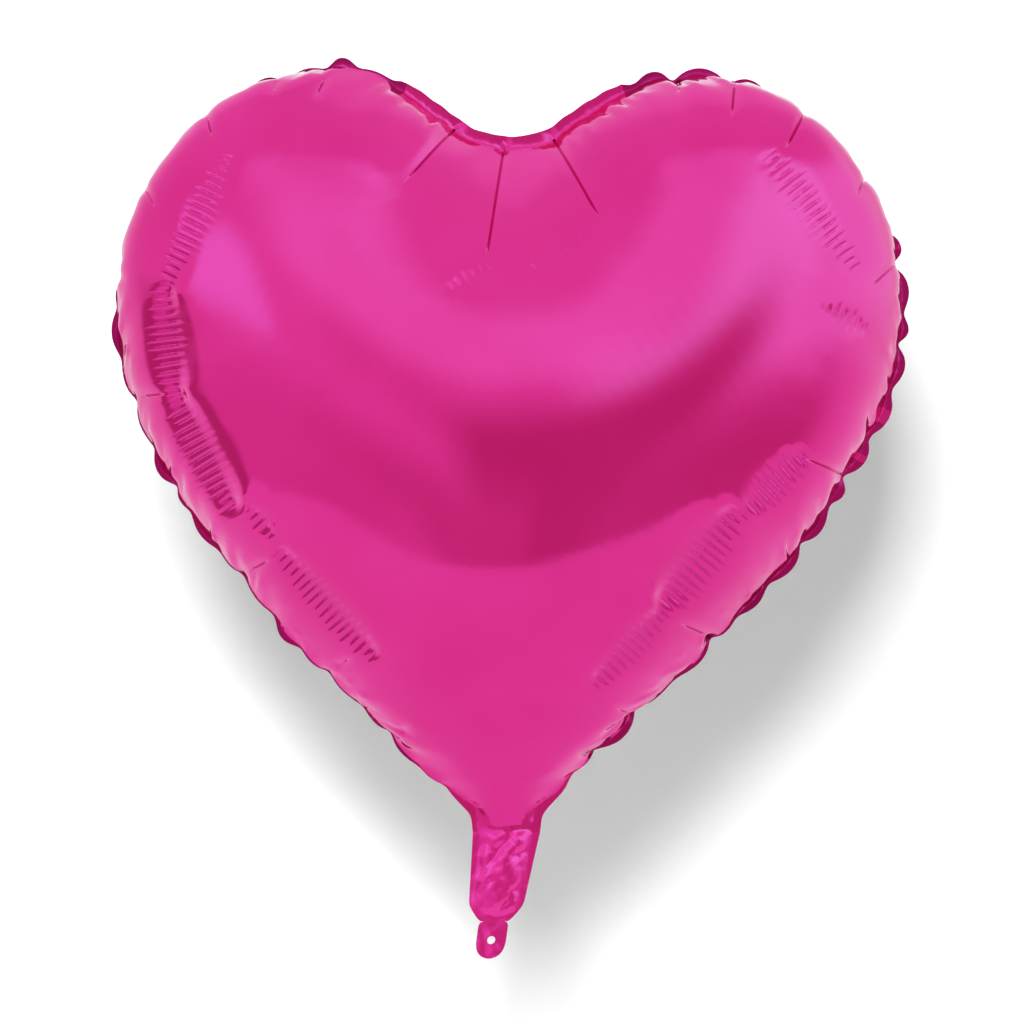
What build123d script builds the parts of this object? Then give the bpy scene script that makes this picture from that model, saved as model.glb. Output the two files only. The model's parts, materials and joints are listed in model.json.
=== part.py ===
"""Heart-shaped foil balloon, inflated and hanging upright.

Millimetres, +Z up, front towards -Y.  The origin is the crease at the root of the neck, where a
ribbon is tied.  X = 0 is the centreline of the heart and Y = 0 is the plane of its rim weld.
The real film is about 0.05 mm thick; every wall here is thicker, so that it is a sound solid.
"""
import os
from math import atan2, cos, radians, sin, sqrt

from build123d import *

# ---- heart outline: the outer edge of the flange, one half of it -------------------------------
LOBE_R = 107.5            # round top of each lobe
LOBE_X = 87.3             # lobe centre from the centreline
LOBE_Z = 268.0            # lobe centre above the neck root
CLEFT_R = 28.0            # hollow between the lobes
SIDE_R = 199.0            # flatter arc down each side
SIDE_TURN = radians(45)   # where that arc runs into the straight side of the point
SHOULDER_HALF_WIDTH = 17.5   # the straight sides stop here, on the shoulders of the neck
SHOULDER_Z = 8.3

# ---- film, rim and inflated depth --------------------------------------------------------------
WALL = 0.8                # solid wall standing in for the film
FLANGE = 5.5              # width of the heat-sealed rim outside the weld line
RING_LAP = 0.4            # how far the flat rim laps under the dome
CROWN_HEIGHT = 87.0       # dome above the rim plane
CROWN_Z = 215.0           # height of the crown above the neck root
DOME_POWER = 2.2          # fullness of the dome towards the rim
DOME_ROUND = 0.55
LEVELS = (1.0, 0.985, 0.94, 0.86, 0.74, 0.58, 0.38, 0.17)

# ---- neck --------------------------------------------------------------------------------------
HINGE_GAP = 0.6           # from a crease to the end of the film on each side of it
PINCH = 0.3               # thickness of one ply next to a crease
NECK_HALF_WIDTH = 16.6
NECK_END_HALF_WIDTH = 13.4
NECK_BULGE = 3.4          # half thickness of the slightly open neck
SIDE_WELD = 2.6           # welded strip down each side of the neck
WELD_PLY = 0.6            # one ply of that strip
TAPER_Z = 8.0             # from a crease to where the neck is full thickness
LEAN = 9.5 / 53.0         # sideways lean of the tail, from the crease to the ribbon hole
NECK_END_Z = -36.0        # the neck narrows below this
TAB_CREASE_Z = -45.0
OPEN_Z = 30.0             # the neck passage opens into the dome by this height
OPEN_BULGE = 15.0
OPEN_HALF_WIDTH = 14.0
SLIT = 0.05               # half gap left between the plies at a crease

# ---- hanging tab -------------------------------------------------------------------------------
TAB_HALF_THICK = 0.6      # both plies welded together
TAB_HALF_WIDTH = 7.3
TAB_END_Z = -62.6
HOLE_Z = -53.0
HOLE_R = 2.0

# ---- self-sealing valve ------------------------------------------------------------------------
LIP_FILM = 0.5
LIP_GAP = 0.25            # each free lip from the rim plane
LIP_HALF_WIDTH = 10.0
LIP_TIP_HALF_WIDTH = 8.0
LIP_BOTTOM_Z = 14.0
LIP_TOP_Z = 86.0
NECK_FILM = 0.3
NECK_FILM_HALF_WIDTH = 12.0  # its edges are caught in the side welds
NECK_FILM_TOP_Z = -9.0
NECK_FILM_BOTTOM_Z = -33.0


def half_outline(inset):
    """Half of the heart, moved inwards by inset, as (start, middle, end); no middle is a line."""
    lobe_r = LOBE_R - inset
    cleft_r = CLEFT_R + inset
    side_r = SIDE_R - inset
    side_x = LOBE_X + LOBE_R - SIDE_R
    cleft_z = LOBE_Z + sqrt((lobe_r + cleft_r) ** 2 - LOBE_X ** 2)
    join = atan2(LOBE_X, cleft_z - LOBE_Z)
    meet = atan2(cleft_z - LOBE_Z, -LOBE_X)

    def on_cleft(angle):
        return (cleft_r * sin(angle), cleft_z - cleft_r * cos(angle))

    def on_lobe(angle):
        return (LOBE_X + lobe_r * cos(angle), LOBE_Z + lobe_r * sin(angle))

    def on_side(angle):
        return (side_x + side_r * cos(angle), LOBE_Z - side_r * sin(angle))

    rise = 0.7 * inset
    shoulder = (SHOULDER_HALF_WIDTH + rise - sqrt(2) * inset, SHOULDER_Z + rise)
    return [
        (on_cleft(0), on_cleft(join / 2), on_cleft(join)),
        (on_lobe(meet), on_lobe(meet / 2), on_lobe(0)),
        (on_side(0), on_side(SIDE_TURN / 2), on_side(SIDE_TURN)),
        (on_side(SIDE_TURN), None, shoulder),
    ]


def heart_wire(inset, foot=(), scale=1.0, y=0.0):
    """Closed heart in the plane at y, scaled about the crown.  foot ends the right-hand side."""
    def place(point, side):
        return Vector(side * point[0] * scale, y, CROWN_Z + (point[1] - CROWN_Z) * scale)

    edges = []
    for side in (1, -1):
        for start, middle, end in half_outline(inset):
            if middle is None:
                edges.append(Edge.make_line(place(start, side), place(end, side)))
            else:
                arc = [place(point, side) for point in (start, middle, end)]
                edges.append(Edge.make_three_point_arc(*arc))
        last = half_outline(inset)[-1][2]
        for point in foot:
            edges.append(Edge.make_line(place(last, side), place(point, side)))
            last = point
    edges.append(Edge.make_line(place(last, 1), place(last, -1)))
    return Wire(edges)


def dome(inset, height):
    """Solid half of the inflated heart, on the front side of the rim plane."""
    rings = []
    for level in LEVELS:
        y = -height * (1 - level ** DOME_POWER) ** DOME_ROUND
        rings.append(heart_wire(inset, (), level, y))
    return Solid.make_loft(rings + [Vertex(0, -height, CROWN_Z)])


def lean_x(z):
    """Sideways place of the tail's centreline at height z."""
    return LEAN * min(z, 0)


def half_lens(z, half_width, bulge):
    """Section across the passage: flat on the rim plane, bulging to the front."""
    left = Vector(lean_x(z) - half_width, 0, z)
    right = Vector(lean_x(z) + half_width, 0, z)
    crown = Vector(lean_x(z), -bulge, z)
    return Wire([Edge.make_three_point_arc(left, crown, right), Edge.make_line(right, left)])


def passage(stations):
    """Solid half tube through (z, half width, bulge) stations."""
    return Solid.make_loft([half_lens(*station) for station in stations], ruled=True)


def strip(stations, thickness):
    """Flat film on the front of the rim plane, through (z, half width) stations."""
    right = [Vector(lean_x(z) + half_width, 0, z) for z, half_width in stations]
    left = [Vector(lean_x(z) - half_width, 0, z) for z, half_width in reversed(stations)]
    face = Face(Wire.make_polygon(right + left, close=True))
    return Solid.extrude(face, Vector(0, -thickness, 0))


def bevel(z, away):
    """Cutter that thins the film next to the crease at z, on the side given by away (+1 or -1)."""
    reach = 4 * NECK_HALF_WIDTH
    edge = z + away * HINGE_GAP
    full = z + away * TAPER_Z / 2
    corners = []
    for height, thickness in ((edge, PINCH), (full, WALL)):
        ring = [Vector(x, y, height) for x, y in (
            (-reach, -thickness), (reach, -thickness), (reach, -2 * WALL), (-reach, -2 * WALL))]
        corners.append(Wire.make_polygon(ring, close=True))
    return Solid.make_loft(corners, ruled=True)


def front_panel():
    """Front cut-out of film: inflated dome, flat weld flange and the mouth of the neck."""
    flange = Solid.extrude(
        Face(heart_wire(0, ((NECK_HALF_WIDTH, HINGE_GAP),))), Vector(0, -WALL, 0))
    middle = Solid.extrude(Face(heart_wire(FLANGE + RING_LAP)), Vector(0, -WALL, 0))
    rim = flange - middle - bevel(0, 1)
    width = NECK_HALF_WIDTH - SIDE_WELD
    mouth = passage([(HINGE_GAP, width, PINCH), (TAPER_Z, width, NECK_BULGE),
                     (OPEN_Z, OPEN_HALF_WIDTH, OPEN_BULGE)])
    bore = passage([(HINGE_GAP, width - WALL, SLIT), (TAPER_Z, width - WALL, NECK_BULGE - WALL),
                    (OPEN_Z, OPEN_HALF_WIDTH - WALL, OPEN_BULGE - WALL)])
    gas = dome(FLANGE + WALL, CROWN_HEIGHT - WALL)
    return rim + dome(FLANGE, CROWN_HEIGHT) + mouth - gas - bore


def neck_valve_film():
    """Valve film inside the neck, in front of the rim plane."""
    return strip([(NECK_FILM_TOP_Z, NECK_FILM_HALF_WIDTH),
                  (NECK_FILM_BOTTOM_Z, NECK_FILM_HALF_WIDTH)], NECK_FILM)


def neck_front_ply():
    """Front film of the neck, from the root crease down to the crease of the tab."""
    top = -HINGE_GAP
    low = TAB_CREASE_Z + HINGE_GAP
    width = NECK_HALF_WIDTH - SIDE_WELD
    end_width = NECK_END_HALF_WIDTH - SIDE_WELD / 2
    edges = strip([(top, NECK_HALF_WIDTH), (NECK_END_Z, NECK_END_HALF_WIDTH),
                   (low, TAB_HALF_WIDTH)], WELD_PLY)
    tube = passage([(top, width, PINCH), (-TAPER_Z, width, NECK_BULGE),
                    (NECK_END_Z, end_width, NECK_BULGE - WALL), (low, TAB_HALF_WIDTH, PINCH)])
    bore = passage([(top, width - WALL, SLIT), (-TAPER_Z, width - WALL, NECK_BULGE - WALL),
                    (NECK_END_Z, end_width - WALL, NECK_BULGE - 2 * WALL),
                    (low, TAB_HALF_WIDTH - WALL, SLIT)])
    ply = edges - bevel(0, -1) - bevel(TAB_CREASE_Z, 1) + tube - bore
    return ply - neck_valve_film()


def valve_lip():
    """Free end of the front valve film, standing inside the envelope."""
    lip = strip([(LIP_BOTTOM_Z, LIP_HALF_WIDTH), (LIP_TOP_Z, LIP_TIP_HALF_WIDTH)], LIP_FILM)
    return lip.moved(Location((0, -LIP_GAP, 0)))


def hang_tab():
    """Welded tongue at the end of the tail, with the punched ribbon hole."""
    centre_x = lean_x(HOLE_Z)
    corner_z = TAB_END_Z + TAB_HALF_WIDTH
    top = TAB_CREASE_Z - HINGE_GAP
    half = TAB_HALF_WIDTH
    outline = Wire([
        Edge.make_line((centre_x - half, 0, top), (centre_x + half, 0, top)),
        Edge.make_line((centre_x + half, 0, top), (centre_x + half, 0, corner_z)),
        Edge.make_three_point_arc((centre_x + half, 0, corner_z), (centre_x, 0, TAB_END_Z),
                                  (centre_x - half, 0, corner_z)),
        Edge.make_line((centre_x - half, 0, corner_z), (centre_x - half, 0, top)),
    ])
    blank = Solid.extrude(Face(outline), Vector(0, 2 * TAB_HALF_THICK, 0))
    blank = blank.moved(Location((0, -TAB_HALF_THICK, 0)))
    punch = Cylinder(HOLE_R, 4).moved(Location((centre_x, 0, HOLE_Z), (90, 0, 0)))
    return blank - punch


# the back film is the front film mirrored in the rim plane
os.makedirs("parts", exist_ok=True)
PAIRS = {
    "front_panel": ("back_panel", front_panel),
    "neck_front_ply": ("neck_back_ply", neck_front_ply),
    "neck_valve_front_film": ("neck_valve_back_film", neck_valve_film),
    "valve_front_lip": ("valve_back_lip", valve_lip),
}
for front_name, (back_name, make) in PAIRS.items():
    front = make()
    export_step(front, f"parts/{front_name}.step")
    export_step(front.mirror(Plane.XZ), f"parts/{back_name}.step")
export_step(hang_tab(), "parts/hang_tab.step")
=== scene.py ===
"""Heart-shaped foil balloon: the visual model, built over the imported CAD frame.

Metres, +Z up, front towards -Y.  Two films are cut flat and welded round the rim, as the real
ones are, and inflated by one cloth simulation whose rim is drawn in to the outline of the CAD
flange.  Puckers, creases, ribs and crinkles too fine for it are pressed into the mesh afterwards.
"""

import json
import random
from math import atan2, cos, hypot, pi, radians, sin, sqrt

import bmesh
import bpy
import numpy as np
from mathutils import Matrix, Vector, geometry


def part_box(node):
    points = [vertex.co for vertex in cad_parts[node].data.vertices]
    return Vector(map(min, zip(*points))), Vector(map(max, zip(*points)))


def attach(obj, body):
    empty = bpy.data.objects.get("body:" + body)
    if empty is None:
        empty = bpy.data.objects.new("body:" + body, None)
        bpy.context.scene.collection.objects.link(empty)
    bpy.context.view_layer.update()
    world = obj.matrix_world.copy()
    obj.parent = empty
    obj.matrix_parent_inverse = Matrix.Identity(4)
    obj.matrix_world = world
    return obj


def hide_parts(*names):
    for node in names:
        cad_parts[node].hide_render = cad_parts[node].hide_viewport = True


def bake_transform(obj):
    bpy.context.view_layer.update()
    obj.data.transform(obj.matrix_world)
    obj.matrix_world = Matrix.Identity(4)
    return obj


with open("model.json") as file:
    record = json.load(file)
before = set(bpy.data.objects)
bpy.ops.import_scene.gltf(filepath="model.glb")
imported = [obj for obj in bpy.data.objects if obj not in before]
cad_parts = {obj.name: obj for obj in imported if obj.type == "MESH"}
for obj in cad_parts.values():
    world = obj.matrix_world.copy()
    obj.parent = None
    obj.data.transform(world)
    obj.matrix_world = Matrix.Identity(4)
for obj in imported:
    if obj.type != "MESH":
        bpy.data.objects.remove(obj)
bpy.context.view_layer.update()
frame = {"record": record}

# ---- places taken from the frame ----------------------------------------------------------------
PANEL_LOW, PANEL_HIGH = (Vector(corner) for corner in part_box("front_panel"))
TAB_LOW, TAB_HIGH = (Vector(corner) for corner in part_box("hang_tab"))
NECK_LOW, NECK_HIGH = (Vector(corner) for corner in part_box("neck_front_ply"))
MOUNTS = {mount["name"]: mount for mount in frame["record"]["mounts"]}
HOLE = Vector(MOUNTS["ribbon_hole"]["pos_m"])
HOLE_R = MOUNTS["ribbon_hole"]["dims"]["r_mm"] / 1000
HALF_WIDTH = PANEL_HIGH.x
TOP_Z = PANEL_HIGH.z
CROWN_Z = 0.215           # clock angles run clockwise from 12 o'clock about this height

# ---- heart outline: outer edge of the flange ----------------------------------------------------
LOBE_R = 0.1075
LOBE_X = HALF_WIDTH - LOBE_R
LOBE_Z = TOP_Z - LOBE_R
CLEFT_R = 0.028
SIDE_R = 0.199
SIDE_TURN = radians(45)
FLANGE = 0.0055           # width of the welded edge
CLEFT_HALF = 0.045        # the flange lies flat to the front along this much of the cleft

# ---- film ---------------------------------------------------------------------------------------
FLAT_SCALE = 1.20         # flat cut against the inflated outline, in the heart
NECK_SCALE = 1.09         # and in the neck, which takes little air
THROAT = 0.070            # height over which one goes over into the other
RING_OUT = 0.0023         # the inflated weld line lies this much outside the flange's inner edge
SCALLOP = 0.0030          # depth of the puckers between the weld line's puffs
SCALLOP_SPACING = 0.021
RIM_SPACING = 0.0042      # triangle size near the rim and in the neck
CORE_SPACING = 0.0085     # and in the middle of the heart
RIM_BAND = 0.055          # the small triangles reach this far in from the weld line
ROOT_SHIFT = -0.002       # the point of the heart is a little off the centreline
TAIL_CUT_Z = -0.0425      # the tab is its own piece below this
NECK_END = 0.0134         # half width of the neck's lower end, before its shoulders
SHOULDER_Z = -0.036
ROOT_CORNER = (0.0175, 0.0083)      # where the heart's edge turns into the neck's
CREASE_BAND = 0.0014      # film this close to the root crease is held on it
CREASE_SAG = 0.0006
WELD_PLY = 0.0002         # each film of the weld from the rim plane
TAB_CRUMPLE = 0.0005
VALVE_HALF = 0.009        # half width of the valve films
VALVE_GAP = 0.00016       # and each from the middle of the neck
FOLD_AT_PUCKER = radians(86)        # how far back the flange is folded in the puckers
FOLD_SPREAD = radians(58)           # and how much less on a puff where it spreads the most
FOLDED = radians(36)      # flange folded further back than this is the back of the weld, duller and darkened as painted shade
NECK_BLEND = (0.004, 0.022)         # the flange lies flat below the first height
PLY_GAP = 0.0005          # half distance of the two films along the root crease, at its ends
THROAT_GAP = 0.0016       # and how much more in its middle

# ---- simulation ---------------------------------------------------------------------------------
SIM_SCALE = 10.0
SIM_FRAMES = 45
DRAW_FRAMES = 30
SEED = 5

# where the rim is drawn in or stands out: clock angle about the crown, spread, and distance
RIM_SHIFTS = (
    (12, 12, -0.0045), (55, 13, -0.0090), (84, 8, 0.0025), (106, 9, -0.0035), (145, 9, 0.0020),
    (192, 9, 0.0040), (217, 18, 0.0065), (275, 14, 0.0030), (303, 12, -0.0085), (332, 7, 0.0040),
    (348, 8, -0.0045),
)
# creases from the rim: clock angle about the crown, length, tilt off the inward direction
CREASES = (
    (7, 0.064, -34), (27, 0.015, -25), (35, 0.027, -27), (46, 0.032, -17), (58, 0.020, -26),
    (71, 0.027, -20), (83, 0.007, -13), (104, 0.033, 6), (140, 0.023, -25), (158, 0.014, -42),
    (166, 0.011, -61), (199, 0.008, 45), (213, 0.012, 25), (236, 0.020, 6), (255, 0.006, 15),
    (269, 0.021, -2), (287, 0.007, 19), (300, 0.019, 29), (313, 0.019, 29), (324, 0.011, 41),
    (331, 0.018, 50), (351, 0.050, 47), (359, 0.074, 9),
)
# bands of fine ribs inside the rim: ends of each band as (x, z), its half width, its depth, and
# how much painted shade darkens the valleys between its ribs, against a crease
RIBS = (
    ((-0.165, 0.262), (-0.133, 0.328), 0.008, 0.0008, 0.30),
    ((-0.166, 0.264), (-0.161, 0.212), 0.010, 0.0026, 0.60),
    ((-0.161, 0.213), (-0.133, 0.158), 0.011, 0.0026, 0.70),
    ((-0.125, 0.159), (-0.115, 0.147), 0.005, 0.0008, 0.70),
    ((-0.111, 0.139), (-0.065, 0.088), 0.008, 0.0012, 0.75),
    ((-0.028, 0.262), (-0.006, 0.272), 0.006, 0.0005, 0.20),
    ((0.009, 0.269), (0.039, 0.289), 0.007, 0.0005, 0.20),
    ((0.122, 0.327), (0.164, 0.271), 0.010, 0.0008, 0.30),
    ((0.148, 0.253), (0.170, 0.244), 0.006, 0.0003, 0.30),
    ((0.140, 0.186), (0.112, 0.158), 0.009, 0.0012, 0.85),
    ((0.108, 0.158), (0.072, 0.112), 0.012, 0.0034, 0.95),
    ((0.073, 0.110), (0.040, 0.075), 0.008, 0.0014, 0.95),
)
RIB_PITCH = 0.0040
RIB_HEIGHT = 0.00050
NECK_CRUMPLE = 0.0022     # depth of the crinkles in the neck
CRUMPLE_MEAN = 0.64
RIDGES = ((0.3, 0.011, 0.2), (1.2, 0.016, 1.9), (2.1, 0.009, 0.8), (2.8, 0.014, 2.7))
EDGE_CRUMPLE = 0.0022     # of the welded edges of the neck and of the tab
THROAT_SLOPE = 0.60       # how fast the throat thickens upwards, each side
THROAT_TOP = 0.050
CREASE_DEPTH = 0.0009     # of the broad dip either side of a crease
CREASE_WIDTH = 0.0030
GROOVE_DEPTH = 0.0007     # of the sharp fold along its middle
GROOVE_HALF = 0.0007


# ---- flat pattern -------------------------------------------------------------------------------
def smooth(value, low, high):
    """0 up to low and 1 from high, with an S between them."""
    t = np.clip((value - low) / (high - low), 0, 1)
    return t * t * (3 - 2 * t)


def clock_angle(points):
    """Degrees clockwise from 12 o'clock about the crown."""
    return np.degrees(np.arctan2(points[:, 0], points[:, 1] - CROWN_Z)) % 360


def turn_between(clock, angle):
    """Signed degrees from one clock angle to others."""
    return (clock - angle + 180) % 360 - 180


def arc(centre_x, centre_z, r, start, end, step):
    """Points along an arc, about one step apart, without its last."""
    count = max(2, int(abs(end - start) * r / step))
    turns = [start + (end - start) * i / count for i in range(count)]
    return [(centre_x + r * cos(t), centre_z + r * sin(t)) for t in turns]


def run(points, step):
    """Points along a polyline, one step apart."""
    out = []
    for (x0, z0), (x1, z1) in zip(points, points[1:]):
        count = max(1, int(hypot(x1 - x0, z1 - z0) / step))
        out += [(x0 + (x1 - x0) * i / count, z0 + (z1 - z0) * i / count) for i in range(count)]
    return out + [points[-1]]


def heart_loop(inset, step, tail):
    """Closed outline, clockwise from the cleft; tail continues the right-hand side downwards."""
    lobe_r, cleft_r, side_r = LOBE_R - inset, CLEFT_R + inset, SIDE_R - inset
    side_x = LOBE_X + LOBE_R - SIDE_R
    cleft_z = LOBE_Z + sqrt((lobe_r + cleft_r) ** 2 - LOBE_X ** 2)
    join = atan2(LOBE_X, cleft_z - LOBE_Z)
    meet = atan2(cleft_z - LOBE_Z, -LOBE_X)
    right = arc(0, cleft_z, cleft_r, -pi / 2, -pi / 2 + join, step)
    right += arc(LOBE_X, LOBE_Z, lobe_r, meet, 0, step)
    right += arc(side_x, LOBE_Z, side_r, 0, -SIDE_TURN, step)
    side_end = (side_x + side_r * cos(SIDE_TURN), LOBE_Z - side_r * sin(SIDE_TURN))
    right += run([side_end] + tail, step)
    loop = []
    for point in right + [(-x, z) for x, z in reversed(right)]:
        if not loop or hypot(point[0] - loop[-1][0], point[1] - loop[-1][1]) > 0.3 * step:
            loop.append(point)
    if hypot(loop[0][0] - loop[-1][0], loop[0][1] - loop[-1][1]) < 0.3 * step:
        loop.pop()
    return np.array(loop)


def inside(points, loop):
    """Which points lie within the closed loop."""
    x, z = points[:, 0], points[:, 1]
    result = np.zeros(len(points), bool)
    for (x1, z1), (x2, z2) in zip(loop, np.roll(loop, 1, axis=0)):
        if z1 != z2:
            crosses = (z1 > z) != (z2 > z)
            result ^= crosses & (x < (x2 - x1) * (z - z1) / (z2 - z1) + x1)
    return result


def nearest(points, loop):
    """Distance from each point to the loop's points, and which of them is nearest."""
    distance = np.empty(len(points))
    index = np.empty(len(points), int)
    for start in range(0, len(points), 2000):
        block = slice(start, start + 2000)
        gaps = ((points[block, None] - loop[None]) ** 2).sum(2)
        index[block] = gaps.argmin(1)
        distance[block] = np.sqrt(gaps.min(1))
    return distance, index


def scatter(step, rng):
    """Jittered triangular lattice over the whole pattern."""
    xs = np.arange(-HALF_WIDTH, HALF_WIDTH + step, step)
    zs = np.arange(TAB_LOW.z, TOP_Z + step, step * 0.866)
    grid = [(x + step / 2 * (row % 2), z) for row, z in enumerate(zs) for x in xs]
    return np.array(grid) + rng.uniform(-0.22, 0.22, (len(grid), 2)) * step


def outward(loop):
    """Unit normals of a clockwise loop."""
    along = np.roll(loop, -1, axis=0) - np.roll(loop, 1, axis=0)
    along /= np.linalg.norm(along, axis=1)[:, None]
    return np.stack([-along[:, 1], along[:, 0]], axis=1)


def tail_loops(step):
    """Outer edge and weld line, from the heart down round the neck, the outer one round the tab."""
    tab = (TAB_HIGH.x - TAB_LOW.x) / 2
    tab_turn = TAB_LOW.z + tab
    tip = [(tab * cos(t), tab_turn - tab * sin(t)) for t in (0.5, 1.0)]
    sides = [ROOT_CORNER, (NECK_HIGH.x, 0), (NECK_END, SHOULDER_Z), (tab, -0.044), (tab, tab_turn)]
    outer = heart_loop(0, step, sides + tip + [(0, TAB_LOW.z)])
    weld = [(0.0145, 0.013), (0.0134, 0.008), (0.0132, 0), (0.0108, -0.034), (0.006, -0.040)]
    ring = heart_loop(FLANGE, step, weld + [(0, -0.041)])
    return outer, ring


def cut_pattern():
    """Triangulated pattern: points, triangles inside the weld line, and triangles of the rim."""
    rng = np.random.default_rng(SEED)
    step = RIM_SPACING / FLAT_SCALE
    core_step = CORE_SPACING / FLAT_SCALE
    outer, ring = tail_loops(step)
    hole = np.array([(HOLE_R * cos(t), HOLE.z + HOLE_R * sin(t))
                     for t in np.linspace(0, 2 * pi, 17)[:-1]])
    fine = scatter(step, rng)
    gap, _ = nearest(fine, ring)
    near_rim = (gap < RIM_BAND) | (fine[:, 1] < 0.03)
    fine = fine[inside(fine, ring) & (gap > 0.6 * step) & near_rim]
    core = scatter(core_step, rng)
    gap, _ = nearest(core, ring)
    core = core[inside(core, ring) & (gap > RIM_BAND + core_step / 2) & (core[:, 1] > 0.03)]
    rim = scatter(0.9 * step, rng)
    clear = [nearest(rim, loop)[0] > 0.55 * step for loop in (ring, outer, hole)]
    rim = rim[inside(rim, outer) & ~inside(rim, ring) & ~inside(rim, hole) & np.all(clear, axis=0)]
    loops = (ring, outer, hole)
    edges = []
    count = 0
    for loop in loops:
        edges += [(count + i, count + (i + 1) % len(loop)) for i in range(len(loop))]
        count += len(loop)
    points = np.vstack(loops + (fine, core, rim))
    result = geometry.delaunay_2d_cdt([Vector(p) for p in points], edges, [], 0, 1e-7)
    points = np.array([tuple(p) for p in result[0]])
    triangles = np.array([list(face) for face in result[2]])
    corners = points[triangles]
    middle = corners.mean(1)
    cross = np.cross(corners[:, 1] - corners[:, 0], corners[:, 2] - corners[:, 0])
    triangles[cross < 0] = triangles[cross < 0][:, ::-1]
    body = inside(middle, ring)
    border = inside(middle, outer) & ~body & ~inside(middle, hole)
    return points, triangles[body], triangles[border], ring, hole


# ---- inflated rim -------------------------------------------------------------------------------
def tail_shift(z):
    """Sideways shift of the point, the neck and the tab."""
    lean = (HOLE.x - ROOT_SHIFT) * np.clip(z / HOLE.z, 0, None)
    return ROOT_SHIFT * (1 - smooth(z, 0.01, 0.095)) + lean


def flat_cut(points):
    """Where points of the pattern lie on the flat film."""
    x, z = points[:, 0], points[:, 1]
    t = np.clip(z / THROAT, 0, 1)
    grown = THROAT * (t ** 3 - t ** 4 / 2) + np.clip(z - THROAT, 0, None)
    extra = FLAT_SCALE - NECK_SCALE
    across = NECK_SCALE + extra * smooth(z, 0, THROAT)
    return np.stack([x * across, NECK_SCALE * z + extra * grown], axis=1)


def loop_lengths(loop):
    """Distance round the loop to each of its points, and the whole way round."""
    steps = np.linalg.norm(np.roll(loop, -1, axis=0) - loop, axis=1)
    return np.concatenate([[0], np.cumsum(steps)[:-1]]), steps.sum()


def pucker_places(ring):
    """Distances round the weld line where the film puckers: at each crease, and between them."""
    rng = random.Random(SEED)
    along, total = loop_lengths(ring)
    clock = clock_angle(ring)
    major = sorted(along[np.abs(turn_between(clock, angle)).argmin()] for angle, _, _ in CREASES)
    places = []
    for start, end in zip(major, major[1:] + [major[0] + total]):
        places.append((start % total, 1.0))
        count = max(1, round((end - start) / SCALLOP_SPACING))
        for i in range(1, count):
            place = start + (end - start) * (i + rng.uniform(-0.3, 0.3)) / count
            places.append((place % total, rng.uniform(0.3, 0.9)))
    return sorted(places), along, total


def pucker(ring):
    """Depth of the pucker at each point of the weld line, from 0 on a puff to 1 at a fold, and
    how far the flange spreads there, from 0 at a fold to 1 on a puff."""
    places, along, total = pucker_places(ring)
    starts = np.array([place for place, _ in places])
    depths = np.array([depth for _, depth in places])
    index = np.searchsorted(starts, along, side="right") - 1
    after = (index + 1) % len(starts)
    span = (starts[after] - starts[index]) % total
    part = ((along - starts[index]) % total) / span
    depth = depths[index] * (1 - part) + depths[after] * part
    depth *= np.minimum(1.3, span / SCALLOP_SPACING)
    clock = np.arctan2(ring[:, 0], ring[:, 1] - CROWN_Z)
    right = smooth(np.sin(clock + radians(20)), 0.2, 0.75)
    loose = np.random.default_rng(SEED).uniform(0, 1, len(starts))[index]
    reach = (1 - right) * 0.9 * loose ** 2.5 + right * (0.45 + 0.5 * loose)
    return depth * (1 - np.sin(pi * part) ** 0.8), reach * np.sin(pi * part) ** 0.7


def inflated_rim(ring):
    """Where the weld line goes, as (x, y, z), and where it would go without its puckers, with
    its outward normals in the rim plane, how far each point is in the cleft, and how far the
    flange spreads there."""
    normals = outward(ring)
    x, z = ring[:, 0], ring[:, 1]
    in_heart = smooth(z, 0.008, 0.025)
    in_cleft = smooth(z, 0.30, 0.32) * (1 - smooth(np.abs(x), CLEFT_HALF, CLEFT_HALF + 0.02))
    clock = clock_angle(ring)
    shift = sum(out * np.exp(-(turn_between(clock, angle) / width) ** 2)
                for angle, width, out in RIM_SHIFTS)
    ring = ring + normals * (shift * smooth(z, 0.012, 0.035))[:, None]
    depth, spread = pucker(ring)
    move = in_heart * ((1 - in_cleft) * RING_OUT - SCALLOP * depth * (1 - 0.6 * in_cleft))
    target = ring + normals * move[:, None]
    target[:, 0] += tail_shift(z)
    place = np.stack([target[:, 0], np.zeros(len(ring)), target[:, 1]], axis=1)
    even = np.stack([ring[:, 0] + tail_shift(z), np.zeros(len(ring)), ring[:, 1]], axis=1)
    return place, even, normals, in_cleft, spread


def fold_angle(ring, in_cleft, spread):
    """How far the flange is folded back from the rim plane at each point of the weld line."""
    folded = FOLD_AT_PUCKER - FOLD_SPREAD * spread
    in_neck = 1 - smooth(ring[:, 1], *NECK_BLEND)
    cleft_fold = radians(17) + radians(13) * np.sin(620 * ring[:, 0] + 1)
    return (folded * (1 - in_cleft) + cleft_fold * in_cleft) * (1 - in_neck)


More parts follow.
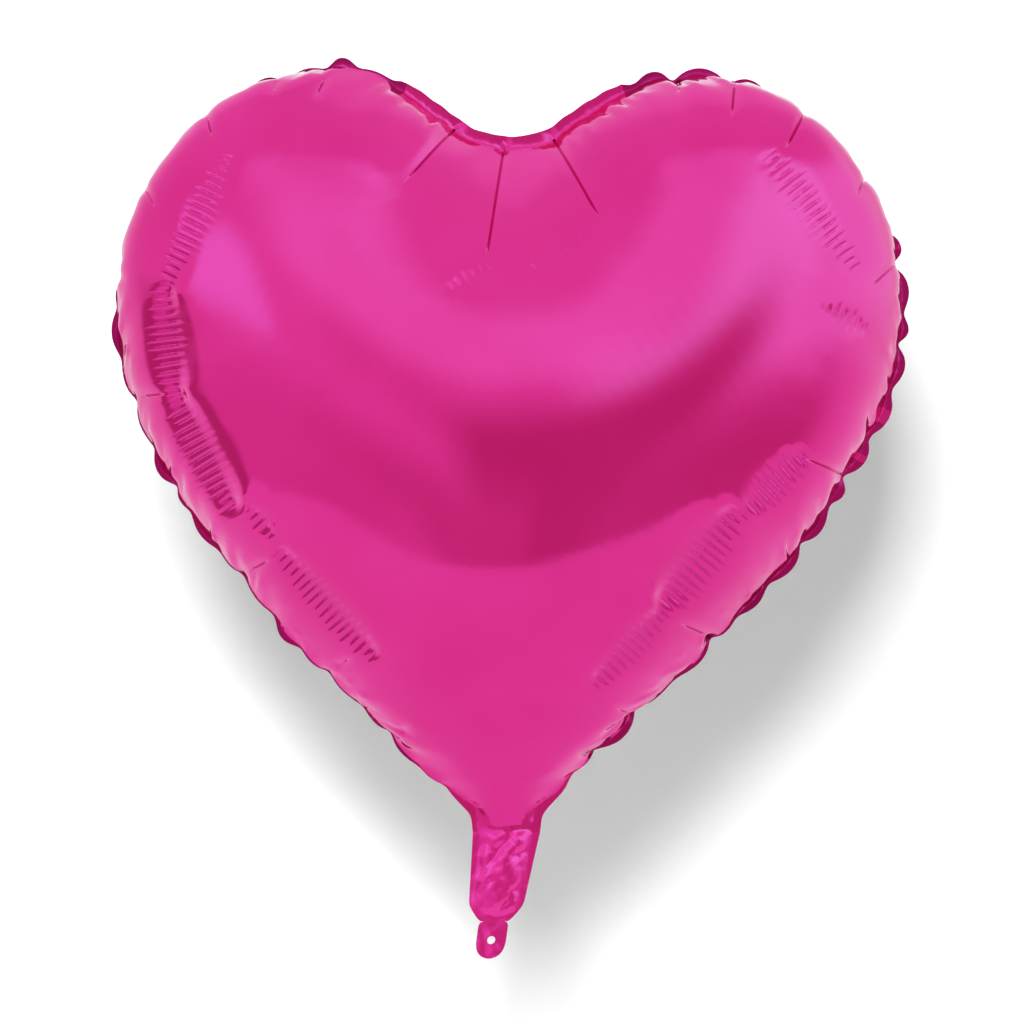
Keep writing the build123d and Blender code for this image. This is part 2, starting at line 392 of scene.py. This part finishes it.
# ---- simulation ---------------------------------------------------------------------------------
def film_mesh(points, body, border, ring_count):
    """Two films welded along the ring.  Returns vertices, faces, the part each face belongs to,
    and for each vertex its pattern point and its layer (-1 front, +1 back, 0 weld and rim)."""
    places, layers, lookup = [], [], {}

    def vertex(point, layer):
        if point < ring_count:
            layer = 0
        if (point, layer) not in lookup:
            lookup[point, layer] = len(places)
            places.append(point)
            layers.append(layer)
        return lookup[point, layer]

    faces, parts = [], []
    for a, b, c in body:
        faces.append([vertex(a, -1), vertex(b, -1), vertex(c, -1)])
        parts.append("front")
        faces.append([vertex(c, 1), vertex(b, 1), vertex(a, 1)])
        parts.append("back")
    for triangle in border:
        faces.append([vertex(i, 0) for i in triangle])
        parts.append("tab" if points[triangle][:, 1].max() < TAIL_CUT_Z else "rim")
    return np.array(places), np.array(layers), faces, parts


def inflate(flat, faces, pinned, targets, air):
    """Cloth simulation of the flat film; pinned vertices are drawn to their targets."""
    mesh = bpy.data.meshes.new("film_sim")
    mesh.from_pydata([Vector(p) * SIM_SCALE for p in flat], [], faces)
    cloth = bpy.data.objects.new("film_sim", mesh)
    scene = bpy.context.scene
    scene.collection.objects.link(cloth)
    pin_group = cloth.vertex_groups.new(name="pin")
    pin_group.add([int(i) for i in pinned], 1.0, "REPLACE")
    air_group = cloth.vertex_groups.new(name="air")
    for index, weight in enumerate(air):
        if weight > 0:
            air_group.add([index], float(weight), "REPLACE")
    cloth.shape_key_add(name="Basis")
    drawn = cloth.shape_key_add(name="drawn")
    for index, target in zip(pinned, targets):
        drawn.data[int(index)].co = Vector(target) * SIM_SCALE
    for frame_number, value in ((1, 0.0), (DRAW_FRAMES, 1.0)):
        drawn.value = value
        drawn.keyframe_insert("value", frame=frame_number)
    modifier = cloth.modifiers.new("cloth", "CLOTH")
    modifier.point_cache.frame_end = SIM_FRAMES
    modifier.collision_settings.use_collision = False
    modifier.collision_settings.use_self_collision = False
    settings = modifier.settings
    settings.quality = 7
    settings.mass = 0.05
    settings.air_damping = 2.0
    settings.tension_stiffness = 60
    settings.compression_stiffness = 0.2
    settings.shear_stiffness = 100
    settings.tension_damping = settings.compression_damping = settings.shear_damping = 5
    settings.bending_model = "ANGULAR"
    settings.bending_stiffness = 0.3
    settings.bending_damping = 0.1
    settings.use_pressure = True
    settings.uniform_pressure_force = 8.0
    settings.vertex_group_pressure = "air"
    settings.vertex_group_mass = "pin"
    settings.effector_weights.gravity = 0
    for number in range(1, SIM_FRAMES + 1):
        scene.frame_set(number)
    evaluated = cloth.evaluated_get(bpy.context.evaluated_depsgraph_get())
    result = evaluated.to_mesh()
    shape = np.array([v.co[:] for v in result.vertices]) / SIM_SCALE
    evaluated.to_mesh_clear()
    scene.frame_set(1)
    bpy.data.objects.remove(cloth)
    bpy.data.meshes.remove(mesh)
    return shape


def make_films():
    """Cut and inflate the film.  Returns a dict: the inflated and the flat vertices, the faces
    with their parts and materials, and each vertex's layer and distance from the weld line."""
    points, body, border, ring, hole = cut_pattern()
    ring_count = len(ring)
    target, even, normals, in_cleft, spread = inflated_rim(ring)
    fold = fold_angle(ring, in_cleft, spread)
    places, layers, faces, parts = film_mesh(points, body, border, ring_count)
    where = points[places]
    rng = np.random.default_rng(SEED)
    wobble = np.abs(rng.normal(0, 0.0004, len(places))) + 0.0004
    cut = flat_cut(where)
    flat = np.stack([cut[:, 0], layers * wobble, cut[:, 1]], axis=1)
    welded = layers == 0
    flat[welded, 1] = rng.normal(0, 0.0002, welded.sum()) * (places[welded] >= ring_count)

    is_ring = places < ring_count
    on_crease = ~welded & (np.abs(where[:, 1]) < CREASE_BAND)
    in_rim = welded & ~is_ring & (where[:, 1] > TAIL_CUT_Z)
    in_tab = welded & ~is_ring & (where[:, 1] < TAIL_CUT_Z)
    pinned = np.flatnonzero(is_ring | on_crease | in_rim | in_tab)
    targets = []
    offset, foot = nearest(where, ring)
    for i in pinned:
        x, z = where[i]
        if is_ring[i]:
            targets.append(target[places[i]])
        elif on_crease[i]:
            sag = CREASE_SAG * sin(900 * x)
            gap = PLY_GAP + THROAT_GAP * cos(min(abs(x) / NECK_HIGH.x, 1) * pi / 2) ** 2
            targets.append((x + tail_shift(z), layers[i] * gap, z + sag))
        elif in_tab[i]:
            crumple = TAB_CRUMPLE * sin(700 * x + 260 * z) * smooth(-z, 0.043, 0.047)
            targets.append((x + tail_shift(z), crumple, z))
        else:
            k = foot[i]
            level = cos(fold[k])
            out = np.array([normals[k, 0] * level, sin(fold[k]), normals[k, 1] * level])
            even_place = even[k] + out * offset[i]
            flat_place = np.array([x + tail_shift(z), 0, z])
            place = (target[k] + out * offset[i]) * (1 - in_cleft[k]) + even_place * in_cleft[k]
            flatness = 1 - smooth(z, *NECK_BLEND)
            targets.append(place * (1 - flatness) + flat_place * flatness)
    air = np.where(~welded, np.clip(0.12 + 0.88 * where[:, 1] / 0.006, 0.12, 1), 0)
    shape = inflate(flat, faces, pinned, targets, air)
    finish = []
    for face, part in zip(faces, parts):
        height = where[face][:, 1].mean()
        # painted shade: the folded-back flange gets the weld foil, whose darker tints stand in for
        # shade
        dull_and_painted_shade = part == "rim" and fold[foot[face]].max() > FOLDED and height > 0.035
        # painted light: the neck below the root crease gets the tail foil, whose lighter tints
        # brighten it
        finish.append(1 if dull_and_painted_shade else 2 if height < 0.001 else 0)
    return {"shape": shape, "flat": flat, "faces": faces, "parts": parts, "layers": layers,
            "finish": finish, "offset": offset, "ring": ring}


# ---- surface detail -----------------------------------------------------------------------------
def crease_lines(mirror):
    """Each crease as its rim end, its direction and its length, in the rim plane."""
    outline = heart_loop(0, 0.002, [ROOT_CORNER])
    clock = clock_angle(outline)
    lines = []
    for angle, length, tilt in CREASES:
        start = outline[np.abs(turn_between(clock, angle)).argmin()]
        turn = radians(angle + 180 + tilt)
        heading = np.array([mirror * sin(turn), cos(turn)])
        lines.append((start * (mirror, 1), heading, length))
    return lines


def relief(x, z, mirror):
    """Inward displacement from creases and rib bands at points of the rim plane, and how much
    painted shade darkens the film there, from 0 to 1: along the middle of each crease and in
    the valleys between the ribs."""
    depth = np.zeros(len(x))
    folded = np.zeros(len(x))
    place = np.stack([x, z], axis=1)
    for start, heading, length in crease_lines(mirror):
        offset = place - start
        along = offset @ heading
        across = np.abs(offset @ np.array([-heading[1], heading[0]]))
        fade = smooth(along, 0, 0.006) * (1 - smooth(along, 0.45 * length, length + 0.004))
        depth += CREASE_DEPTH * fade * np.exp(-(across / CREASE_WIDTH) ** 2)
        line = smooth(along, 0.006, 0.010) * (1 - smooth(along, 0.75 * length, length))
        line *= np.clip(1 - across / GROOVE_HALF, 0, 1)
        depth += GROOVE_DEPTH * line
        # painted shade: the middle of each crease, darkened in the material by this amount
        folded = np.maximum(folded, line)
    for start, end, half, valley, shade in RIBS:
        along, across, length = band_place(place, start, end, mirror)
        window = smooth(along, -0.004, 0.004) * (1 - smooth(along, length - 0.004, length + 0.004))
        lens = half * np.clip(np.sin(pi * np.clip(along / length, 0.03, 0.97)), 0.2, 1) ** 0.5
        uneven = lens * (0.78 + 0.16 * np.sin(740 * along + 1.3) + 0.06 * np.sin(1900 * along))
        wander = 0.5 * np.sin(along * 260 + across * 90)
        ends = np.exp(-((across - 0.25 * half) / uneven) ** 4)
        groove = (0.5 + 0.5 * np.cos(2 * pi * along / RIB_PITCH + wander)) ** 3
        depth += RIB_HEIGHT * groove * window * ends
        depth += valley * window * np.exp(-(across / lens) ** 2)
        # painted shade: the valleys between the ribs, darkened in the material by this amount
        folded = np.maximum(folded, shade * groove * window * ends)
    return depth, folded


def crumple(x, z):
    """Height of the crinkles of the slack neck, from 0 to 1: ridges along a few directions."""
    height = np.zeros(len(x))
    for turn, pitch, phase in RIDGES:
        height += np.abs(np.sin((x * cos(turn) + z * sin(turn)) * pi / pitch + phase))
    return height / len(RIDGES)


def band_place(place, start, end, mirror):
    """Distances of points along a rib band and across it, towards the rim, and its length."""
    start = np.array(start) * (mirror, 1)
    end = np.array(end) * (mirror, 1)
    length = np.linalg.norm(end - start)
    heading = (end - start) / length
    to_rim = np.array([-heading[1], heading[0]])
    if (start - (0, CROWN_Z)) @ to_rim < 0:
        to_rim = -to_rim
    offset = place - start
    return offset @ heading, offset @ to_rim, length


def face_centres(mesh):
    """Centres of a mesh's faces in the rim plane."""
    return np.array([face.calc_center_median()[:] for face in mesh.faces])[:, (0, 2)]


def refine(obj, mirror):
    """Finer mesh in the rib bands, and cuts along the middle and the sides of each crease."""
    mesh = bmesh.new()
    mesh.from_mesh(obj.data)
    middle = face_centres(mesh)
    in_band = np.zeros(len(middle), bool)
    for start, end, half, _, _ in RIBS:
        along, across, length = band_place(middle, start, end, mirror)
        in_band |= (along > -0.005) & (along < length + 0.005) & (np.abs(across) < 1.25 * half)
    mesh.faces.ensure_lookup_table()
    edges = {edge for i in np.flatnonzero(in_band) for edge in mesh.faces[i].edges}
    bmesh.ops.subdivide_edges(mesh, edges=list(edges), cuts=1, use_grid_fill=True)
    mesh.faces.ensure_lookup_table()
    middle = face_centres(mesh)
    beside = []
    for start, heading, length in crease_lines(mirror):
        along = (middle - start) @ heading
        across = (middle - start) @ np.array([-heading[1], heading[0]])
        close = (along > -0.012) & (along < length) & (np.abs(across) < 0.003)
        beside.append([mesh.faces[i] for i in np.flatnonzero(close)])
    for (start, heading, _), faces in zip(crease_lines(mirror), beside):
        faces = [face for face in faces if face.is_valid]
        edges = {edge for face in faces for edge in face.edges}
        vertices = {vertex for face in faces for vertex in face.verts}
        patch = faces + list(edges) + list(vertices)
        side = Vector((-heading[1], 0, heading[0]))
        for shift in (-GROOVE_HALF, 0, GROOVE_HALF):
            origin = Vector((start[0], 0, start[1])) + side * shift
            cut = bmesh.ops.bisect_plane(mesh, geom=patch, dist=1e-6,
                                         plane_co=origin, plane_no=side)
            patch = [item for item in cut["geom"] if item.is_valid]
            for item in cut["geom_cut"]:
                if isinstance(item, bmesh.types.BMEdge):
                    item.smooth = False
    mesh.to_mesh(obj.data)
    mesh.free()


def settle(shape, faces, amount, rounds=10):
    """Average each vertex with its neighbours, as far as amount says, to take out the ripples
    that the size of the triangles leaves in taut film."""
    sides = np.array(faces)
    first = sides.ravel()
    second = np.roll(sides, -1, axis=1).ravel()
    count = np.zeros(len(shape))
    np.add.at(count, first, 1)
    np.add.at(count, second, 1)
    for _ in range(rounds):
        total = np.zeros_like(shape)
        np.add.at(total, first, shape[second])
        np.add.at(total, second, shape[first])
        shape = shape + (total / count[:, None] - shape) * amount[:, None]
    return shape


def fill_throat(shape, free, side, ring):
    """Push the film out over the throat, where the gas keeps a tongue of it full."""
    right = ring[(ring[:, 0] > 0) & (ring[:, 1] < 0.12)]
    right = right[right[:, 1].argsort()]
    x = shape[:, 0] - tail_shift(shape[:, 2])
    z = shape[:, 2]
    half_width = np.interp(z, right[:, 1], right[:, 0])
    thick = (PLY_GAP + THROAT_GAP + THROAT_SLOPE * z) * smooth(z, 0.0005, 0.003)
    full = thick * np.sqrt(np.clip(1 - (x / half_width) ** 2, 0, 1))
    full = np.where(free & (z < THROAT_TOP), full, 0)
    shape = shape.copy()
    shape[:, 1] = np.where(full > side * shape[:, 1], side * full, shape[:, 1])
    return shape


def piece(name, result, part_names, material, levels, side=0, shrink=1.0):
    """One object from the named parts of the inflated film, moved to its side of the weld.
    Also returns the size and area of its flat cut, which is shrink times smaller than the
    pattern where the film was never drawn in."""
    picked = [i for i, part in enumerate(result["parts"]) if part in part_names]
    chosen = [result["faces"][i] for i in picked]
    used = sorted({i for face in chosen for i in face})
    index = {old: new for new, old in enumerate(used)}
    mesh = bpy.data.meshes.new(name)
    faces = [[index[i] for i in face] for face in chosen]
    welded = result["layers"][used] == 0
    taut = smooth(result["offset"][used], 0.010, 0.035)
    height = result["shape"][used, 2]
    throat = smooth(height, 0.001, 0.004) * (1 - smooth(height, 0.028, 0.045))
    taut = np.where(welded, 0, np.maximum(taut, throat))
    shape = fill_throat(result["shape"][used], ~welded, side, result["ring"])
    shape = settle(shape, faces, taut)
    shape[welded, 1] += side * WELD_PLY
    in_neck = 1 - smooth(shape[:, 2], 0, 0.010)
    behind = np.clip(PLY_GAP - side * shape[:, 1], 0, None) * in_neck
    shape[~welded, 1] += 1.5 * side * behind[~welded]
    flatter = smooth(np.abs(shape[:, 0] - tail_shift(shape[:, 2])), 0.0095, 0.0120)
    flatter = np.maximum(flatter, smooth(-shape[:, 2], 0.037, 0.042)) * in_neck
    crinkles = crumple(shape[:, 0], shape[:, 2]) - CRUMPLE_MEAN
    shape[:, 1] += EDGE_CRUMPLE * crinkles * flatter
    mesh.from_pydata([Vector(p) for p in shape], [], faces)
    mesh.polygons.foreach_set("material_index", [result["finish"][f] for f in picked])
    flat = result["flat"][used] / shrink
    layer = mesh.uv_layers.new(name="pattern")
    loops = np.array([loop.vertex_index for loop in mesh.loops])
    layer.data.foreach_set("uv", (flat[loops][:, (0, 2)] + 0.3).ravel())
    mesh.materials.append(material)
    obj = bpy.data.objects.new(name, mesh)
    bpy.context.scene.collection.objects.link(obj)
    first, second, third = np.swapaxes(flat[faces], 0, 1)
    area = np.linalg.norm(np.cross(second - first, third - first), axis=1)
    size = flat.max(0) - flat.min(0)
    if levels:
        subdivide = obj.modifiers.new("smooth", "SUBSURF")
        subdivide.levels = subdivide.render_levels = levels
        apply_modifiers(obj)
    obj.data.polygons.foreach_set("use_smooth", np.ones(len(obj.data.polygons), bool))
    return obj, (float(size[0]), float(size[2])), float(area.sum() / 2)


def apply_modifiers(obj):
    """Replace an object's mesh with its evaluated one."""
    evaluated = obj.evaluated_get(bpy.context.evaluated_depsgraph_get())
    mesh = bpy.data.meshes.new_from_object(evaluated)
    old = obj.data
    obj.modifiers.clear()
    obj.data = mesh
    mesh.name = obj.name
    bpy.data.meshes.remove(old)


def emboss(obj, mirror):
    """Press the creases, ribs and crinkles into a film, and store how much painted shade
    darkens its creases and rib valleys.
    """
    mesh = obj.data
    place, normal = np.empty((2, len(mesh.vertices), 3))
    mesh.vertices.foreach_get("co", place.ravel())
    mesh.vertex_normals.foreach_get("vector", normal.ravel())
    depth, folded = relief(place[:, 0], place[:, 2], mirror)
    in_heart = smooth(place[:, 2], 0.02, 0.04)
    middle = tail_shift(place[:, 2])
    in_neck = 1 - smooth(place[:, 2], -0.004, 0.004)
    in_neck *= 1 - smooth(np.abs(place[:, 0] - middle), 0.006, 0.013)
    in_neck *= smooth(place[:, 2], -0.042, -0.036)
    depth = depth * in_heart - NECK_CRUMPLE * crumple(place[:, 0], place[:, 2]) * in_neck
    place -= normal * depth[:, None]
    mesh.vertices.foreach_set("co", place.ravel())
    # the fold attribute carries the painted shade of the creases and rib valleys to the foil
    # materials
    mesh.attributes.new("fold", "FLOAT", "POINT").data.foreach_set("value", folded * in_heart)
    mesh.update()


# ---- materials ----------------------------------------------------------------------------------
def new_material(name):
    """A material with its nodes, its links and its shader."""
    material = bpy.data.materials.new(name)
    material.use_nodes = True
    nodes = material.node_tree.nodes
    return material, nodes, material.node_tree.links, nodes["Principled BSDF"]


def noise_node(nodes, scale, detail=2):
    noise = nodes.new("ShaderNodeTexNoise")
    noise.inputs["Scale"].default_value = scale
    noise.inputs["Detail"].default_value = detail
    return noise


def bump_node(nodes, strength, distance):
    bump = nodes.new("ShaderNodeBump")
    bump.inputs["Strength"].default_value = strength
    bump.inputs["Distance"].default_value = distance
    return bump


def foil(name, tint_low, tint_high, roughness, swell_height, coat=0.35):
    """Magenta lacquer over metallised film, between two tints of the lacquer, with painted shade
    darkening it along the creases and in the valleys between the ribs."""
    material, nodes, links, shader = new_material(name)
    coord = nodes.new("ShaderNodeTexCoord")
    tint = noise_node(nodes, 14, 3)
    ramp = nodes.new("ShaderNodeValToRGB")
    ramp.color_ramp.elements[0].position = 0.35
    ramp.color_ramp.elements[0].color = (*tint_low, 1)
    ramp.color_ramp.elements[1].position = 0.65
    ramp.color_ramp.elements[1].color = (*tint_high, 1)
    links.new(coord.outputs["Object"], tint.inputs["Vector"])
    links.new(tint.outputs["Fac"], ramp.inputs["Fac"])
    # painted shade: the fold attribute darkens the lacquer towards the crease colour
    painted_crease_shade = nodes.new("ShaderNodeAttribute")
    painted_crease_shade.attribute_name = "fold"
    shade = nodes.new("ShaderNodeMix")
    shade.data_type = "RGBA"
    amount, lacquer, crease = (shade.inputs[i] for i in (0, 6, 7))
    # painted shade colour of the creases and rib valleys
    crease.default_value = (0.62, 0.020, 0.290, 1)
    links.new(painted_crease_shade.outputs["Fac"], amount)
    links.new(ramp.outputs["Color"], lacquer)
    links.new(shade.outputs[2], shader.inputs["Base Color"])
    haze = noise_node(nodes, 60, 4)
    rough = nodes.new("ShaderNodeMapRange")
    rough.inputs["To Min"].default_value = roughness
    rough.inputs["To Max"].default_value = 1.4 * roughness
    links.new(coord.outputs["Object"], haze.inputs["Vector"])
    links.new(haze.outputs["Fac"], rough.inputs["Value"])
    links.new(rough.outputs["Result"], shader.inputs["Roughness"])
    fine, wave = noise_node(nodes, 900), noise_node(nodes, 40, 1)
    grain, swell = bump_node(nodes, 0.04, 0.0002), bump_node(nodes, swell_height, 0.001)
    for noise, bump in ((fine, grain), (wave, swell)):
        links.new(coord.outputs["Object"], noise.inputs["Vector"])
        links.new(noise.outputs["Fac"], bump.inputs["Height"])
    links.new(swell.outputs["Normal"], grain.inputs["Normal"])
    links.new(grain.outputs["Normal"], shader.inputs["Normal"])
    shader.inputs["Metallic"].default_value = 1.0
    shader.inputs["Coat Weight"].default_value = coat
    shader.inputs["Coat Roughness"].default_value = 0.08
    return material


def milky_film():
    """Cloudy clear polyethylene of the valve."""
    material, nodes, links, shader = new_material("valve_film")
    coord = nodes.new("ShaderNodeTexCoord")
    cloud = noise_node(nodes, 120)
    ramp = nodes.new("ShaderNodeValToRGB")
    ramp.color_ramp.elements[0].color = (0.70, 0.70, 0.68, 1)
    ramp.color_ramp.elements[1].color = (0.88, 0.88, 0.86, 1)
    bump = bump_node(nodes, 0.2, 0.0003)
    links.new(coord.outputs["Object"], cloud.inputs["Vector"])
    links.new(cloud.outputs["Fac"], ramp.inputs["Fac"])
    links.new(ramp.outputs["Color"], shader.inputs["Base Color"])
    links.new(cloud.outputs["Fac"], bump.inputs["Height"])
    links.new(bump.outputs["Normal"], shader.inputs["Normal"])
    shader.inputs["Roughness"].default_value = 0.35
    return material


# ---- balloon ------------------------------------------------------------------------------------
def valve_sheet(node, side, material):
    """One of the two valve films inside the neck, between the welds."""
    low, high = (Vector(corner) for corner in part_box(node))
    rows, columns = 25, 19
    mesh = bpy.data.meshes.new(node + "_sheet")
    points, faces = [], []
    for row in range(rows):
        z = low.z + (high.z - low.z) * row / (rows - 1)
        for column in range(columns):
            across = VALVE_HALF * (2 * column / (columns - 1) - 1)
            ripple = 0.00004 * sin(900 * across + 500 * z)
            points.append((across + float(tail_shift(z)), side * VALVE_GAP + ripple, z))
    for row in range(rows - 1):
        for column in range(columns - 1):
            corner = row * columns + column
            face = (corner, corner + 1, corner + columns + 1, corner + columns)
            faces.append(face if side < 0 else face[::-1])
    mesh.from_pydata(points, [], faces)
    mesh.materials.append(material)
    obj = bpy.data.objects.new(node + "_sheet", mesh)
    bpy.context.scene.collection.objects.link(obj)
    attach(obj, "neck")
    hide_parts(node)


def build_balloon():
    """The two films, the tab, the valve films in the neck, and a material for the CAD lips."""
    result = make_films()
    taut = foil("foil_taut", (0.78, 0.020, 0.285), (0.82, 0.028, 0.325), 0.085, 0.02)
    # the weld foil is rougher and uncoated, and its tints, darker than the taut foil's, are painted
    # shade
    weld = foil("foil_weld_painted_shade", (0.36, 0.009, 0.125), (0.52, 0.014, 0.190), 0.26, 0.10, 0)
    # the tail foil's tints, lighter than the taut foil's, are painted light on the neck and the tab
    tail = foil("foil_tail", (0.86, 0.026, 0.340), (0.92, 0.036, 0.400), 0.20, 0.15)
    milky = milky_film()
    for name, part, nodes, mirror in (
            ("film_front", "front", ("front_panel", "neck_front_ply"), 1),
            ("film_back", "back", ("back_panel", "neck_back_ply"), -1)):
        obj, flat, area = piece(name, result, (part, "rim"), taut, 2, -mirror)
        obj.data.materials.append(weld)
        obj.data.materials.append(tail)
        refine(obj, mirror)
        emboss(obj, mirror)
        obj.visible_diffuse = False
        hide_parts(*nodes)
        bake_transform(obj)
    tab, flat, area = piece("film_tab", result, ("tab",), tail, 1, 0, NECK_SCALE)
    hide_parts("hang_tab")
    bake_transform(tab)
    for name, side in (("neck_valve_front_film", -1), ("neck_valve_back_film", 1)):
        valve_sheet(name, side, milky)
    for node in ("valve_front_lip", "valve_back_lip"):
        cad = bpy.data.objects[node]
        for slot in cad.material_slots:
            slot.material = milky


build_balloon()
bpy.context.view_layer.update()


# ---- stage --------------------------------------------------------------------------------------
# What the foil sees of the studio, as zones of azimuth (0 towards the camera) and elevation in
# degrees: each rises from the first to the second value and falls from the third to the fourth.
WHITE = 0.94              # the surroundings as the camera sees them
ROOM = 0.11               # and as they light the scene
PLAIN = (0.88, 0.82, 0.86)
PALE = (0.95, 1.00, 1.00)
ZONES = (
    ((-240, -230, -125, -95), (-120, -110, 110, 120), PALE),
    ((95, 125, 230, 240), (-120, -110, 110, 120), PALE),
    ((-34, -14, 26, 44), (18, 32, 44, 58), (0.97, 1.40, 1.15)),
    ((26, 44, 105, 130), (-14, 2, 36, 50), (0.99, 1.90, 1.32)),
    ((4, 24, 44, 60), (6, 18, 36, 48), (1.02, 2.60, 1.55)),
    ((-60, -50, -40, -28), (0, 12, 22, 32), (1.00, 1.90, 1.45)),
    ((-100, -84, -28, -14), (-50, -40, -18, 8), (0.77, 0.55, 0.66)),
    ((-22, -8, 28, 48), (-50, -40, 2, 24), (0.61, 0.32, 0.43)),
    ((-44, -26, 0, 10), (-50, -40, -26, 0), (0.68, 0.42, 0.52)),
    ((20, 36, 62, 100), (-50, -40, -24, 2), (0.64, 0.38, 0.48)),
    ((-104, -94, -78, -64), (-50, -40, -8, 4), (0.52, 0.25, 0.35)),
    ((-130, -100, 100, 130), (-120, -110, -35, -33), (0.89, 0.86, 0.87)),
    ((-310, -300, -168, -148), (-50, -34, -4, 20), (0.66, 0.42, 0.52)),
    ((148, 168, 300, 310), (-50, -34, -4, 20), (0.66, 0.42, 0.52)),
    ((-310, -300, -170, -152), (14, 28, 44, 58), (1.02, 1.90, 1.40)),
    ((150, 164, 300, 310), (14, 28, 44, 58), (1.02, 1.90, 1.40)),
)


def stage():
    """Pale paper, soft light, and the camera square to the balloon's front."""
    scene = bpy.context.scene
    scene.view_settings.view_transform = "Standard"
    studio_world(scene)
    backdrop()
    soft_light("key", (-0.42, -2.20, 1.90), (1.4, 0.9), 112)
    soft_light("fill", (1.3, -1.6, 1.1), (1.2, 1.2), 1.5)
    camera_data = bpy.data.cameras.new("camera")
    camera = bpy.data.objects.new("camera", camera_data)
    distance = 1.8
    view_width = 0.5024
    camera_data.lens = camera_data.sensor_width * distance / view_width
    camera.location = (0.0007, -distance, 0.157)
    camera.rotation_euler = (radians(90), 0, 0)
    scene.collection.objects.link(camera)
    scene.camera = camera


def studio_world(scene):
    """Plain surroundings, near white to the camera and dim as light; in reflections, the soft
    boxes and the dark parts of the room, from ZONES."""
    world = bpy.data.worlds.new("studio")
    scene.world = world
    world.use_nodes = True
    nodes, links = world.node_tree.nodes, world.node_tree.links

    def calculate(operation, *values):
        node = nodes.new("ShaderNodeMath")
        node.operation = operation
        for socket, value in zip(node.inputs, values):
            if isinstance(value, (int, float)):
                socket.default_value = value
            else:
                links.new(value, socket)
        return node.outputs[0]

    def ramp(value, low, high):
        node = nodes.new("ShaderNodeMapRange")
        node.interpolation_type = "SMOOTHSTEP"
        node.inputs["From Min"].default_value = low
        node.inputs["From Max"].default_value = high
        links.new(value, node.inputs["Value"])
        return node.outputs["Result"]

    coord = nodes.new("ShaderNodeTexCoord")
    split = nodes.new("ShaderNodeSeparateXYZ")
    links.new(coord.outputs["Generated"], split.inputs[0])
    x, y, z = split.outputs
    towards_camera = calculate("MULTIPLY", y, -1.0)
    azimuth = calculate("MULTIPLY", calculate("ARCTAN2", x, towards_camera), 180 / pi)
    elevation = calculate("MULTIPLY", calculate("ARCSINE", z), 180 / pi)
    colour = nodes.new("ShaderNodeRGB")
    colour.outputs[0].default_value = (*PLAIN, 1)
    colour = colour.outputs[0]
    for across, up, tone in ZONES:
        inside_zone = 1.0
        for value, (start, full, fall, end) in ((azimuth, across), (elevation, up)):
            rise = ramp(value, start, full)
            drop = calculate("SUBTRACT", 1.0, ramp(value, fall, end))
            band = calculate("MULTIPLY", rise, drop)
            inside_zone = calculate("MULTIPLY", inside_zone, band)
        mix = nodes.new("ShaderNodeMix")
        mix.data_type = "RGBA"
        factor, around, within = (mix.inputs[i] for i in (0, 6, 7))
        links.new(inside_zone, factor)
        links.new(colour, around)
        within.default_value = (*tone, 1)
        colour = mix.outputs[2]
    path = nodes.new("ShaderNodeLightPath")
    plain = nodes["Background"]
    plain.inputs["Color"].default_value = (1, 1, 1, 1)
    shown = calculate("MULTIPLY_ADD", path.outputs["Is Camera Ray"], WHITE - ROOM, ROOM)
    links.new(shown, plain.inputs["Strength"])
    seen = nodes.new("ShaderNodeBackground")
    links.new(colour, seen.inputs["Color"])
    choose = nodes.new("ShaderNodeMixShader")
    links.new(path.outputs["Is Glossy Ray"], choose.inputs["Fac"])
    links.new(plain.outputs[0], choose.inputs[1])
    links.new(seen.outputs[0], choose.inputs[2])
    links.new(choose.outputs[0], nodes["World Output"].inputs["Surface"])


def soft_light(name, place, size, power):
    """A soft box aimed at the balloon."""
    data = bpy.data.lights.new(name, "AREA")
    data.shape = "RECTANGLE"
    data.size, data.size_y = size
    data.energy = power
    light = bpy.data.objects.new(name, data)
    light.location = place
    aim = Vector((0, 0, 0.2)) - Vector(place)
    light.rotation_euler = aim.to_track_quat("-Z", "Y").to_euler()
    light.visible_glossy = False
    bpy.context.scene.collection.objects.link(light)


def backdrop():
    """Pale seamless paper: a floor that sweeps up into a wall close behind the balloon, clear
    from behind so that the balloon can be seen from there."""
    material, nodes, links, shader = new_material("paper")
    shader.inputs["Base Color"].default_value = (0.93, 0.93, 0.93, 1)
    shader.inputs["Roughness"].default_value = 0.9
    side = nodes.new("ShaderNodeNewGeometry")
    clear = nodes.new("ShaderNodeBsdfTransparent")
    choose = nodes.new("ShaderNodeMixShader")
    links.new(side.outputs["Backfacing"], choose.inputs["Fac"])
    links.new(shader.outputs[0], choose.inputs[1])
    links.new(clear.outputs[0], choose.inputs[2])
    links.new(choose.outputs[0], nodes["Material Output"].inputs["Surface"])
    wall_y, floor_z, bend_r = 0.105, -0.30, 0.15
    curve = [(wall_y - bend_r + bend_r * cos(t), floor_z + bend_r - bend_r * sin(t))
             for t in np.linspace(pi / 2, 0, 24)]
    profile = [(-1.5, floor_z)] + curve + [(wall_y, 1.1)]
    half_width = 1.5
    mesh = bpy.data.meshes.new("backdrop")
    points = [(side * half_width, y, z) for y, z in profile for side in (-1, 1)]
    faces = [(2 * i, 2 * i + 1, 2 * i + 3, 2 * i + 2) for i in range(len(profile) - 1)]
    mesh.from_pydata(points, [], faces)
    mesh.polygons.foreach_set("use_smooth", np.ones(len(faces), bool))
    mesh.materials.append(material)
    obj = bpy.data.objects.new("backdrop", mesh)
    bpy.context.scene.collection.objects.link(obj)
    obj.visible_glossy = False


stage()
